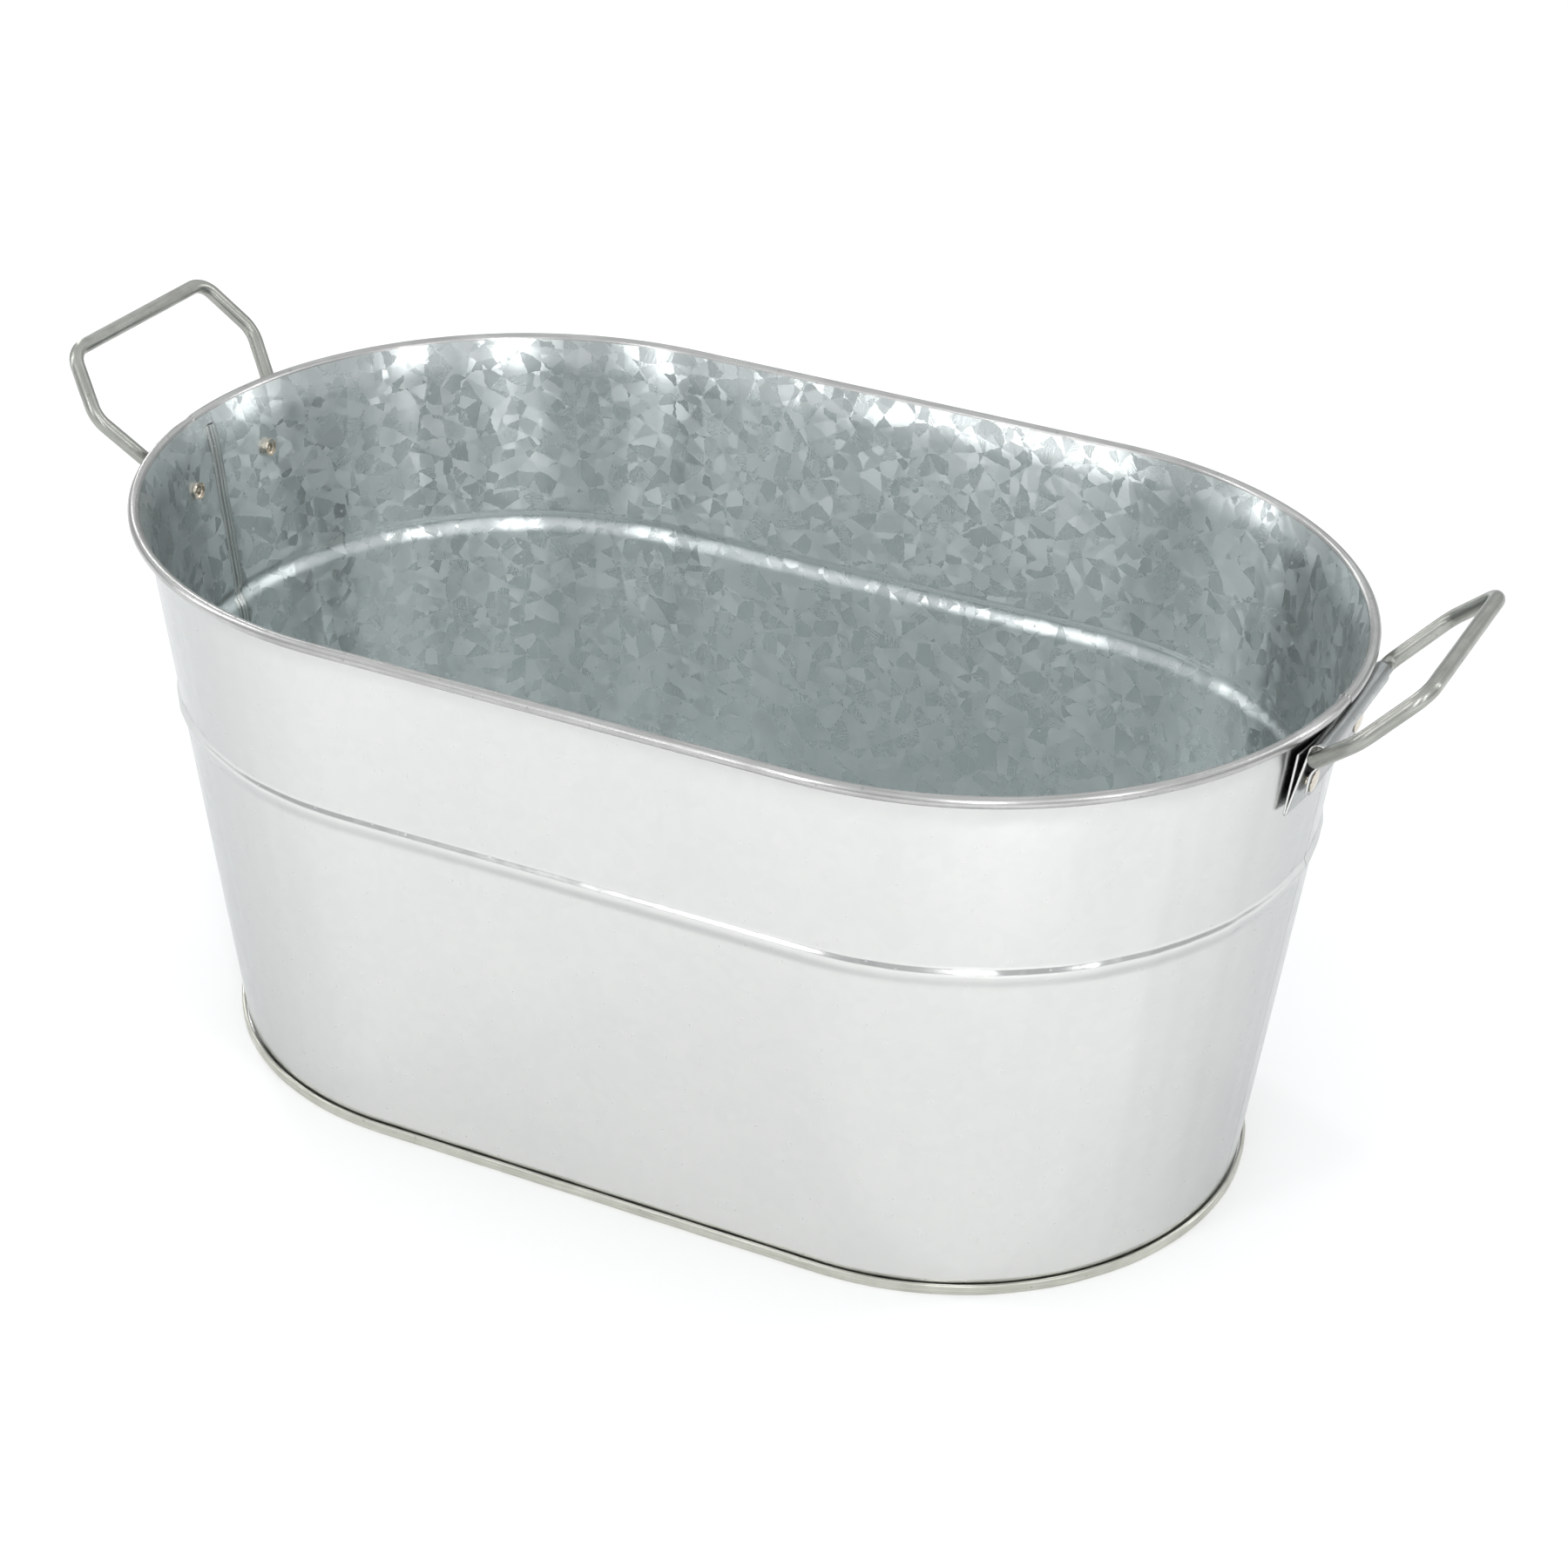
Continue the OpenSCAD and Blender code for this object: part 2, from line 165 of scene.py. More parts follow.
def patch(grid, finish=0, flat=None, round_rows=False, round_columns=False, ends=False,
          turn_out=True, keep=None):
    """One grid as points, faces, a finish number and flat corner coordinates for each face.

    ends=True closes both ends of a swept closed outline, which goes out along one side
    and back along the other, so point k is joined to its opposite number."""
    rows, columns = grid.shape[:2]
    points = grid.reshape(-1, 3)
    faces = quads(rows, columns, round_rows, round_columns)
    if flat is None:
        flat = np.stack(np.meshgrid(np.arange(rows) * MM, np.arange(columns) * MM,
                                    indexing="ij"), -1)
    if round_rows:
        flat = run_on(flat, 0)
    if round_columns:
        flat = run_on(flat, 1)
    corners = flat.reshape(-1, 2)[quads(*flat.shape[:2])]
    across = columns if round_columns else columns - 1
    finishes = np.tile(np.resize(np.asarray(finish), across), len(faces) // across)
    if keep is not None:
        keep = keep.ravel()
        faces, finishes, corners = faces[keep], finishes[keep], corners[keep]
    if ends:
        k = np.arange(columns // 2 - 1)
        cap = np.stack([k, k + 1, columns - 2 - k, columns - 1 - k], -1)[:, ::-1]
        cap = np.vstack([cap, cap[:, ::-1] + (rows - 1) * columns])
        faces = np.vstack([faces, cap])
        finishes = np.concatenate([finishes, np.zeros(len(cap), int)])
        corners = np.concatenate([corners, np.zeros((len(cap), 4, 2))])
    if turn_out and enclosed(points, faces) < 0:
        faces, corners = faces[:, ::-1], corners[:, ::-1]
    return points, faces, finishes, corners


def make_piece(name, patches, finishes, body, slot, *nodes, sharp=35.0):
    """A named object from patches, riding on a body and standing for CAD nodes. Points
    that meet at a pole or a seam are merged."""
    starts = np.cumsum([0] + [len(p[0]) for p in patches])
    points = np.vstack([p[0] for p in patches])
    faces = np.vstack([p[1] + start for p, start in zip(patches, starts)])
    corners = np.concatenate([p[3] for p in patches])
    mesh = bpy.data.meshes.new(name)
    mesh.from_pydata(points.tolist(), [], faces.tolist())
    for material in finishes:
        mesh.materials.append(material)
    mesh.polygons.foreach_set("material_index", np.concatenate([p[2] for p in patches]))
    mesh.polygons.foreach_set("use_smooth", np.ones(len(mesh.polygons), bool))
    layer = mesh.uv_layers.new(name="sheet")
    layer.data.foreach_set("uv", corners.ravel())
    merging = bmesh.new()
    merging.from_mesh(mesh)
    bmesh.ops.remove_doubles(merging, verts=merging.verts, dist=SAME_PLACE)
    merging.to_mesh(mesh)
    merging.free()
    mesh.set_sharp_from_angle(angle=math.radians(sharp))
    mesh.update()
    piece = bpy.data.objects.new(name, mesh)
    bpy.context.scene.collection.objects.link(piece)
    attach(piece, body)
    if nodes:
        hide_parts(*nodes)
    open_edges = sum(count == 1 for count in np.unique(
        np.array([edge for face in mesh.polygons for edge in face.edge_keys]),
        axis=0, return_counts=True)[1])
    print("%s: %d faces, %d open edges" % (name, len(mesh.polygons), open_edges))
    return piece


# %% [markdown]
# ## Finishes
# All of the tub is zinc on steel, but it doesn't look the same everywhere. Inside, the
# zinc froze in large crystals, called spangle: each one is an angular patch that tilts the
# reflection a little its own way. Outside they hardly show: the sheet is smooth and pale,
# with only a faint cloud of them left. The rolled rim, the folded foot and the brackets
# are rubbed grey along their length. Each finish is a metal shader whose roughness, tint
# and surface direction come mostly from the sheet's flat coordinates.

# %% Node helper
def add(tree, kind, sockets=None, **settings):
    """Adds one node, sets its properties, and fills or links its sockets."""
    made = tree.nodes.new(kind)
    for key, value in settings.items():
        setattr(made, key, value)
    for key, value in (sockets or {}).items():
        socket = made.inputs[key]
        if isinstance(value, bpy.types.NodeSocket):
            tree.links.new(value, socket)
        else:
            socket.default_value = value
    return made


def new_finish(name, **principled):
    """An empty finish: its node tree, its shader, and the flat coordinates in metres."""
    material = bpy.data.materials.new(name)
    material.use_nodes = True
    tree = material.node_tree
    shader = tree.nodes["Principled BSDF"]
    shader.inputs["Metallic"].default_value = 1.0
    for key, value in principled.items():
        shader.inputs[key.replace("_", " ")].default_value = value
    flat = add(tree, "ShaderNodeUVMap", uv_map="sheet").outputs["UV"]
    return material, tree, shader, flat


def math_node(tree, operation, *values):
    """One step of arithmetic between values or sockets."""
    made = add(tree, "ShaderNodeMath", dict(enumerate(values)), operation=operation)
    return made.outputs["Value"]


def vector_node(tree, operation, *values):
    """The same for vectors. SCALE takes a number second."""
    names = (0, "Scale") if operation == "SCALE" else (0, 1)
    return add(tree, "ShaderNodeVectorMath", dict(zip(names, values)),
               operation=operation).outputs[0]


def spread(tree, value, low, high, from_low=0.0, from_high=1.0):
    """Carries a 0..1 value over to another range."""
    return add(tree, "ShaderNodeMapRange",
               {"Value": value, "From Min": from_low, "From Max": from_high,
                "To Min": low, "To Max": high}).outputs["Result"]


def blend_colours(tree, factor, first, second):
    """Mixes two colours. Inputs 6 and 7 and output 2 are a Mix node's colour sockets."""
    return add(tree, "ShaderNodeMix", {0: factor, 6: first, 7: second},
               data_type="RGBA").outputs[2]


# %% Scuffs
def scuffs(tree, flat):
    """How marked the metal is, 0 to 1: fine scratches, where noise drawn out twelve-fold
    crosses a high level, and specks, where few of many small cells are picked."""
    skew = add(tree, "ShaderNodeMapping", {"Vector": flat, "Rotation": (0, 0, 0.5),
                                           "Scale": (1500.0, 60.0, 1.0)}).outputs[0]
    scratch = add(tree, "ShaderNodeTexNoise", {"Vector": skew, "Scale": 1.0, "Detail": 4.0})
    scratch = spread(tree, scratch.outputs["Fac"], 0.0, 1.0, 0.66, 0.74)
    cells = add(tree, "ShaderNodeTexVoronoi", {"Vector": flat, "Scale": 260.0},
                voronoi_dimensions="2D")
    chosen = math_node(tree, "GREATER_THAN", add(
        tree, "ShaderNodeSeparateXYZ", {0: cells.outputs["Color"]}).outputs[0], 0.93)
    near = spread(tree, cells.outputs["Distance"], 1.0, 0.0, 0.05, 0.22)
    return math_node(tree, "MAXIMUM", math_node(tree, "MULTIPLY", scratch, 0.6),
                     math_node(tree, "MULTIPLY", chosen, near))


# %% Spangled zinc
CRYSTAL = 0.019           # size of a crystal
FRAY = 0.0022             # how far its border wanders
FEATHERS = (1300.0, 160.0, 1.0)        # feathers to a metre, across and along
PAINTED_SHADE_COLOUR = (0.34, 0.355, 0.36, 1.0)        # colour of the painted shade outside, where the metal is seen at a slant
PAINTED_SHADE_SLANT = (0.36, 0.92)              # where the painted shade starts and is full, 0 is head on
FULL_TURN = 6.283


def shards(tree, flat, turn, lengthen):
    """Random colour of each long narrow cell of a pattern turned by an angle."""
    turned = add(tree, "ShaderNodeVectorRotate", {"Vector": flat, "Angle": turn},
                 rotation_type="Z_AXIS").outputs[0]
    placed = vector_node(tree, "MULTIPLY", turned, (1 / CRYSTAL, lengthen / CRYSTAL, 1.0))
    return add(tree, "ShaderNodeTexVoronoi", {"Vector": placed, "Scale": 1.0},
               voronoi_dimensions="2D").outputs["Color"]


def spangled_zinc(name, pale, deep, rough_low, rough_high, tilt, mark=0.25, upright=0.75,
                  painted_slant_shade=0.0):
    """Zinc crystals as the pieces between three crossed patterns of long cells. Each has
    its own random colour, read as a tilt of the surface, a roughness and a tint share."""
    material, tree, shader, flat = new_finish(name)
    wander = add(tree, "ShaderNodeTexNoise", {"Vector": flat, "Scale": 420.0, "Detail": 3.0})
    centred = vector_node(tree, "SUBTRACT", wander.outputs["Color"], (0.5,) * 3)
    frayed = vector_node(tree, "ADD", flat, vector_node(tree, "SCALE", centred, FRAY))
    mixed = shards(tree, frayed, 0.5, 2.2)
    for turn in (1.6, 2.65):
        mixed = vector_node(tree, "ADD", mixed, shards(tree, frayed, turn, 2.6))
    crystal_random = vector_node(tree, "FRACTION", mixed)
    split = add(tree, "ShaderNodeSeparateXYZ", {0: crystal_random})
    # Feathers: fine noise drawn out along a direction that each crystal chooses.
    heading = math_node(tree, "MULTIPLY", split.outputs[0], FULL_TURN)
    own_way = add(tree, "ShaderNodeVectorRotate", {"Vector": flat, "Angle": heading},
                  rotation_type="Z_AXIS").outputs[0]
    drawn = vector_node(tree, "MULTIPLY", own_way, FEATHERS)
    feather = add(tree, "ShaderNodeTexNoise", {"Vector": drawn, "Scale": 1.0, "Detail": 2.0})
    clouds = add(tree, "ShaderNodeTexNoise", {"Vector": flat, "Scale": 14.0, "Detail": 5.0})
    marks = scuffs(tree, flat)
    share = math_node(tree, "ADD", math_node(tree, "MULTIPLY", split.outputs[1], 0.3),
                      math_node(tree, "MULTIPLY", clouds.outputs["Fac"], 0.7))
    share = math_node(tree, "SUBTRACT", share, math_node(tree, "MULTIPLY", marks, mark * 2))
    tint = blend_colours(tree, share, (*deep, 1.0), (*pale, 1.0))
    if painted_slant_shade:
        # Painted shade: the metal's colour is darkened where it is seen at a slant. It was
        # chosen, and it follows the viewer, so the painted shade moves when the view does.
        slant = add(tree, "ShaderNodeLayerWeight", {"Blend": 0.5}).outputs["Facing"]
        painted_shade_share = spread(tree, slant, 0.0, painted_slant_shade, *PAINTED_SHADE_SLANT)
        tint = blend_colours(tree, painted_shade_share, tint, PAINTED_SHADE_COLOUR)
    rough = spread(tree, math_node(tree, "ADD",
                                   math_node(tree, "MULTIPLY", split.outputs[2], 0.6),
                                   math_node(tree, "MULTIPLY", feather.outputs["Fac"], 0.4)),
                   rough_low, rough_high)
    rough = math_node(tree, "ADD", rough, math_node(tree, "MULTIPLY", marks, mark))
    lean = vector_node(tree, "SUBTRACT", crystal_random, (0.5,) * 3)
    lean = vector_node(tree, "SCALE", lean, tilt)
    facing = add(tree, "ShaderNodeNewGeometry").outputs["Normal"]
    leaning = vector_node(tree, "NORMALIZE", vector_node(tree, "ADD", facing, lean))
    # The gloss is drawn out up and down, so a light's image becomes an upright streak.
    shader.inputs["Anisotropic"].default_value = upright
    shader.inputs["Anisotropic Rotation"].default_value = 0.25
    grain = add(tree, "ShaderNodeTangent", direction_type="UV_MAP", uv_map="sheet")
    tree.links.new(grain.outputs["Tangent"], shader.inputs["Tangent"])
    bump = add(tree, "ShaderNodeBump", {"Height": feather.outputs["Fac"], "Normal": leaning,
                                        "Strength": min(0.3, tilt * 1.5),
                                        "Distance": 0.0002})
    tree.links.new(tint, shader.inputs["Base Color"])
    tree.links.new(rough, shader.inputs["Roughness"])
    tree.links.new(bump.outputs["Normal"], shader.inputs["Normal"])
    return material


inside_zinc = spangled_zinc("spangled_zinc_inside", (0.705, 0.735, 0.733),
                            (0.605, 0.645, 0.648), 0.22, 0.36, 0.10)
floor_zinc = spangled_zinc("spangled_zinc_floor", (0.70, 0.73, 0.728), (0.61, 0.65, 0.652),
                           0.22, 0.36, 0.10, upright=0.0)
# The outside finish paints shade into its base colour where the metal is seen at a slant.
outside_zinc = spangled_zinc("smooth_zinc_outside_painted_shade", (0.72, 0.72, 0.705),
                             (0.66, 0.665, 0.655), 0.16, 0.24, 0.008, mark=0.12,
                             upright=0.3, painted_slant_shade=0.8)

# %% [markdown]
# The rim, the foot and the brackets are the same sheet after the rollers: greyer, with fine
# lines along the direction it was drawn through them. Drawn wire is darker and slightly
# olive. Both come from one recipe: noise stretched along the length, so that it reads as
# drawing lines, with a few darker rubs.

# %% Drawn metal
def drawn_metal(name, pale, deep, rough_low, rough_high, fine=(30.0, 1800.0), rub=0.35):
    """Metal with drawing lines along the first flat coordinate and cloudy rubs over them."""
    material, tree, shader, flat = new_finish(name)
    stretched = vector_node(tree, "MULTIPLY", flat, (*fine, 1.0))
    lines = add(tree, "ShaderNodeTexNoise", {"Vector": stretched, "Scale": 1.0, "Detail": 3.0})
    place = add(tree, "ShaderNodeTexCoord").outputs["Object"]
    rubs = add(tree, "ShaderNodeTexNoise", {"Vector": place, "Scale": 90.0, "Detail": 5.0})
    share = math_node(tree, "ADD",
                      math_node(tree, "MULTIPLY", lines.outputs["Fac"], 1.0 - rub),
                      math_node(tree, "MULTIPLY", rubs.outputs["Fac"], rub))
    share = spread(tree, share, 0.0, 1.0, 0.3, 0.7)
    share = math_node(tree, "SUBTRACT", share,
                      math_node(tree, "MULTIPLY", scuffs(tree, flat), 0.5))
    tint = blend_colours(tree, share, (*deep, 1.0), (*pale, 1.0))
    rough = spread(tree, share, rough_high, rough_low)
    bump = add(tree, "ShaderNodeBump", {"Height": lines.outputs["Fac"], "Strength": 0.15,
                                        "Distance": 0.0001})
    tree.links.new(tint, shader.inputs["Base Color"])
    tree.links.new(rough, shader.inputs["Roughness"])
    tree.links.new(bump.outputs["Normal"], shader.inputs["Normal"])
    return material


rim_metal = drawn_metal("rubbed_zinc_rim", (0.56, 0.56, 0.55), (0.34, 0.34, 0.335), 0.20, 0.38)
foot_metal = drawn_metal("rubbed_zinc_foot", (0.70, 0.70, 0.64), (0.42, 0.42, 0.37),
                         0.25, 0.45)
bracket_metal = drawn_metal("rubbed_zinc_bracket", (0.50, 0.51, 0.51), (0.27, 0.28, 0.28),
                            0.22, 0.42)
edge_metal = drawn_metal("cut_edge", (0.90, 0.90, 0.88), (0.72, 0.72, 0.70), 0.25, 0.35)
wire_metal = drawn_metal("drawn_wire", (0.44, 0.445, 0.415), (0.27, 0.275, 0.25), 0.24, 0.40,
                         fine=(60.0, 900.0), rub=0.5)
rivet_metal = drawn_metal("nickel_rivet", (0.74, 0.69, 0.61), (0.50, 0.45, 0.38), 0.16, 0.32,
                          fine=(300.0, 300.0))
print("finishes", [material.name for material in bpy.data.materials])

# %% [markdown]
# ## A thin sheet as an outline
# The wall, its neck and its roll are one piece of sheet. Its middle line is drawn once as
# radius and height, with every corner rounded, and the sheet is that line moved half a
# thickness to each side. Because the two sides make one closed outline, the sheet has real
# thickness at its edges without a modifier.

# %% Profile helpers
def arc(centre, radius, start, stop, count):
    """Points on a circle: centre + radius x (cos, sin) of angles from start to stop."""
    angle = np.radians(np.linspace(start, stop, count))
    return np.asarray(centre) + radius * np.stack([np.cos(angle), np.sin(angle)], -1)


def rounded(corners, radii, count=7):
    """A path through corners, each replaced by an arc-like curve: the quadratic blend
    (1-t)^2 a + 2t(1-t) corner + t^2 b between points a and b one radius from the corner."""
    corners = np.asarray(corners, float)
    t = np.linspace(0, 1, count)[:, None]
    out = [corners[:1]]
    for before, corner, after, radius in zip(corners, corners[1:], corners[2:], radii):
        a = corner + (before - corner) * radius / np.linalg.norm(before - corner)
        b = corner + (after - corner) * radius / np.linalg.norm(after - corner)
        out.append((1 - t) ** 2 * a + 2 * t * (1 - t) * corner + t ** 2 * b)
    out.append(corners[-1:])
    return np.vstack(out)


def both_sides(line, thickness):
    """The closed outline of a sheet: the line moved by half the thickness along its left
    normal, then back along the other side."""
    step = np.gradient(line, axis=0)
    normal = np.stack([-step[:, 1], step[:, 0]], -1)
    normal /= np.linalg.norm(normal, axis=1)[:, None]
    return np.vstack([line - normal * thickness / 2, (line + normal * thickness / 2)[::-1]])


def along(line):
    """Distance along a line of points."""
    steps = np.linalg.norm(np.diff(line, axis=0), axis=1)
    return np.concatenate([[0], np.cumsum(steps)])


# %% [markdown]
# The bead is a ridge pressed outward all round the wall. It rises quickly above its crest
# and slowly below, each flank half a cosine wave. The neck leads the wall out to the roll,
# which passes over the hoop of wire and ends under it.

# %% Wall profile
BEAD_Z = 0.164            # crest of the bead
BEAD_HEIGHT = 0.011
BEAD_PROUD = 0.0015
HOOK_HEIGHT = 0.0034      # the wall's foot, hooked up inside the folded foot


def wall_radius(z):
    """Middle of the sheet: the foot's radius plus the slope times the height."""
    return base_r + wall_slope * z


def bead(z):
    """Half a cosine wave on each side of the crest, zero beyond the bead's edges."""
    rise = np.where(z > BEAD_Z, 0.36, 0.64) * BEAD_HEIGHT
    t = np.clip(np.abs(z - BEAD_Z) / rise, 0, 1)
    return BEAD_PROUD * (1 + np.cos(np.pi * t)) / 2


def heights(low, high, below, over_bead, above):
    """Heights up the wall: three even runs, the middle one close together over the bead."""
    return np.concatenate([np.linspace(low, BEAD_Z - 0.008, below),
                           np.linspace(BEAD_Z - 0.0075, BEAD_Z + 0.0045, over_bead),
                           np.linspace(BEAD_Z + 0.007, high, above)])


def wall_line():
    """Middle line of the sheet from the hooked foot, up the wall, round the roll."""
    low = SHEET * 1.6
    hook_r = foot_r - 1.5 * SHEET - 0.05 * MM
    hook = rounded([(hook_r, HOOK_HEIGHT), (hook_r, low), (wall_radius(low), low),
                    (wall_radius(0.02), 0.02)], [0.4 * MM, 0.5 * MM], 5)
    z = heights(0.023, neck_z - 0.005, 12, 26, 10)
    face = np.stack([wall_radius(z) + bead(z), z], -1)
    middle = roll_size - SHEET / 2
    roll = arc((roll_path, roll_z), middle, 168, -112, 30)
    turn = rounded([face[-1], (wall_radius(neck_z), neck_z), roll[0]], [4.0 * MM], 8)
    return np.vstack([hook, face[:-1], turn[:-1], roll])


wall_middle = wall_line()
wall_outline = both_sides(wall_middle, SHEET)
print("wall outline of", len(wall_outline), "points, up to", wall_outline[:, 1].max().round(5))

# %% [markdown]
# ## Carrying a profile round the oval
# The oval is two half circles joined by straight runs. A place on it is the centre of the
# nearest round end and a direction from there, so one formula carries any radius round:
# centre + radius x direction. The wall isn't a perfect surface: where the rollers bent the
# ends it has faint upright flutes, the long sides bulge a little, and each rivet pulls a
# dimple. These are pushes along the radius, faded out towards the rim and the foot.

# %% Sweeping round the oval
def oval_way(start, stop, round_steps=96, straight_steps=44):
    """Rows of (centre x, direction) from one direction to another, counter-clockwise in
    degrees, with the straight runs where the direction passes 90 or 270."""
    rows = []
    edges = [start] + [q for q in (90, 270, 450) if start < q < stop] + [stop]
    for low, high in zip(edges, edges[1:]):
        count = max(2, int(round_steps * (high - low) / 90))
        angle = np.linspace(low, high, count)
        side = np.sign(np.cos(np.radians((low + high) / 2)))
        rows.append(np.stack([np.full(count, side * end_x), np.radians(angle)], -1))
        if high != stop:
            x = np.linspace(side, -side, straight_steps)[1:-1] * end_x
            rows.append(np.stack([x, np.full(len(x), math.radians(high))], -1))
    return np.vstack(rows)


def sweep(outline, way, push=None):
    """Grid of points (centre + r cos a, r sin a, z) for each place on the way and each
    point of the outline, with r pushed in or out by push(place, direction, height)."""
    radius = np.broadcast_to(outline[:, 0], (len(way), len(outline))).copy()
    height = np.broadcast_to(outline[:, 1], radius.shape)
    centre, angle = way[:, :1], way[:, 1:]
    if push is not None:
        radius += push(centre, angle, height)
    return np.stack([centre + radius * np.cos(angle), radius * np.sin(angle), height], -1)


MIDDLE_R = 0.145          # a radius between the foot's and the rim's
OTHER_FACE, SEAM_FACE = 1.0, 2.0       # metres between the flat maps of different faces


def way_length(way):
    """Distance along the oval at a middling radius."""
    x = way[:, 0] + MIDDLE_R * np.cos(way[:, 1])
    return along(np.stack([x, MIDDLE_R * np.sin(way[:, 1])], -1))


def sheet_flat(way, outline):
    """Flat coordinates in metres: distance round the oval and distance up the sheet."""
    half = len(outline) // 2
    up_sheet = along(outline[:half])
    both = np.concatenate([up_sheet, up_sheet[::-1] + OTHER_FACE])
    return np.stack(np.meshgrid(way_length(way), both, indexing="ij"), -1)


# %% [markdown]
# The fittings at the left end sit a little way round from its nose, and the frame's joint
# says how far: the hinge's direction is turned by the same angle.

# %% Fittings' places
joints = {joint["name"]: joint for joint in frame["joints"]}
left_axis = joints["left_handle_swing"]["axis"]
left_turn = math.atan2(left_axis[0], left_axis[1])
hinge_x = joints["right_handle_swing"]["pos_m"][0]
hinge_z = joints["right_handle_swing"]["pos_m"][2]
RIVET_DROP = 0.0295       # rivets below the top of the rim
RIVET_APART = 0.052
rivet_z = rim_top - RIVET_DROP


def at_left(points):
    """Turns right-hand points by the left bracket's angle about the end centre, then
    mirrors them across the middle of the tub."""
    x, y = points[..., 0] - end_x, points[..., 1]
    c, s = math.cos(left_turn), math.sin(left_turn)
    return np.stack([-(end_x + c * x - s * y), s * x + c * y, points[..., 2]], -1)


SIDES = (("left", at_left), ("right", np.copy))
rivet_turn = math.asin(RIVET_APART / 2 / wall_radius(rivet_z))
rivet_places = [(1, -rivet_turn), (1, rivet_turn),
                (-1, left_turn - rivet_turn), (-1, left_turn + rivet_turn)]
print("left fittings turned %.2f degrees" % math.degrees(left_turn))

# %% Unevenness of the wall
DIMPLE_OUT = 0.45 * MM    # how far a rivet pulls the wall out, and how widely
DIMPLE_R = 0.006


def wall_push(centre, angle, height):
    """Flutes: four sine waves of the direction, on the round ends only. Bulge: a broad wave
    along the straight runs. Dimples: a bell curve round each rivet. All in metres."""
    fade = np.clip((height - 0.012) / 0.03, 0, 1) * np.clip((neck_z - height) / 0.012, 0, 1)
    bent = np.abs(np.cos(angle)) ** 0.5
    flutes = (0.07 * np.sin(angle * 47 + 0.8) + 0.05 * np.sin(angle * 71 + 2.1)
              + 0.12 * np.sin(angle * 29 + 0.3 + 2 * height)
              + 0.16 * np.sin(angle * 13 + 5 * height)) * bent
    bulge = 0.22 * np.sin(centre * 31 + 1.2) * np.sin(height * 24 + 0.6) * (1 - bent)
    out = (flutes + bulge) * fade * MM
    for side, middle in ((1, 0.0), (-1, math.pi - left_turn)):
        # Under a bracket the wall is held true, so the strip lies close to it.
        gap = np.angle(np.exp(1j * (angle - middle))) * wall_radius(rivet_z)
        held = (np.exp(-(gap / 0.046) ** 6) * np.clip((height - 0.196) / 0.012, 0, 1)
                * (np.sign(np.cos(angle)) == side))
        out = out * (1 - held)
    for side, turn in rivet_places:
        at = turn if side > 0 else math.pi - turn
        gap = np.angle(np.exp(1j * (angle - at))) * wall_radius(rivet_z)
        away = (gap ** 2 + (height - rivet_z) ** 2) / DIMPLE_R ** 2
        out = out + DIMPLE_OUT * np.exp(-away) * (np.sign(np.cos(angle)) == side)
    return out


# %% [markdown]
# ## The wall
# Two halves, front and back, hook into each other in a flat lock seam at each end. The
# front half runs a little past the middle and folds back; the back half steps in behind
# it. The finish changes along the outline: smooth outside, spangled inside, rubbed on the
# roll.

# %% Lock seam
LOCK_WIDTH = 0.0055
ROLL_POINTS = 29          # points of the outline's roll on each side of the sheet
LAP_TURN = 2.9            # degrees that the back half's roll reaches over the front's
TUCK = 0.19               # share of the way to the hoop that the inner roll is drawn in
lock_y = LOCK_WIDTH / 2
lock_turn = math.degrees(lock_y / wall_radius(0.12))
outline_place = np.arange(len(wall_outline))
outline_half = len(wall_outline) // 2
on_roll = np.abs(outline_place + 0.5 - outline_half) < ROLL_POINTS
wall_finish = np.where(on_roll, 2, np.where(outline_place >= outline_half, 1, 0))


def seam_strip(side, inset, half_width, shift=0.0):
    """A flat strip with rounded edges, standing upright on the wall's inner face. Rows run
    up the wall and over the bead; columns run round the strip's cross-section."""
    z = heights(0.0052, roll_z - 0.004, 10, 18, 10)
    steps = [(0, 0), (1, 0), (1, 0.5), (0.66, 0.56), (0.6, 1), (0.1, 1), (0, 0.82),
             (-0.12, 0.95), (-0.45, 0.9), (-0.52, 0.5), (-1, 0.45), (-1, 0), (0, 0)]
    section = rounded(np.array(steps) * (half_width, inset), [0.14 * MM] * 11, 5)
    section = section[:-1]
    dent = 1 - 0.35 * np.exp(-((z - BEAD_Z) / 0.004) ** 2)
    flare = NECK_REACH * np.clip((z - neck_z) / (roll_z - neck_z), 0, 1)
    radius = (wall_radius(z) + bead(z) + flare)[:, None] - section[:, 1] * dent[:, None]
    y = section[:, 0] + shift + 0.00012 * np.sin(z * 260)[:, None]
    x = side * (end_x + np.sqrt(radius ** 2 - y ** 2))
    grid = np.stack([x, np.broadcast_to(y, x.shape), np.broadcast_to(z[:, None], x.shape)], -1)
    flat = np.stack(np.broadcast_arrays(z[:, None] + SEAM_FACE, section[:, 0] * 2), -1)
    # A row drawn together at its middle closes each end.
    low, high = (np.broadcast_to(row.mean(0), row.shape)[None] for row in (grid[0], grid[-1]))
    grid = np.vstack([low, grid, high])
    flat = np.concatenate([flat[:1], flat, flat[-1:]])
    return patch(grid, 0, flat, round_columns=True)


def tuck_roll(grid, way):
    """Draws the last of the roll in towards the hoop, so it fits into the other half's."""
    near_end = np.minimum(np.abs(way[:, 1] - way[0, 1]), np.abs(way[:, 1] - way[-1, 1]))
    t = np.clip(2.0 - near_end / math.radians(LAP_TURN * 1.6), 0, 1)
    amount = TUCK * t * t * (3 - 2 * t)
    centre = sweep(np.array([[roll_path, roll_z]]), way)
    share = amount[:, None, None] * on_roll[None, :, None]
    return grid + (centre - grid) * share


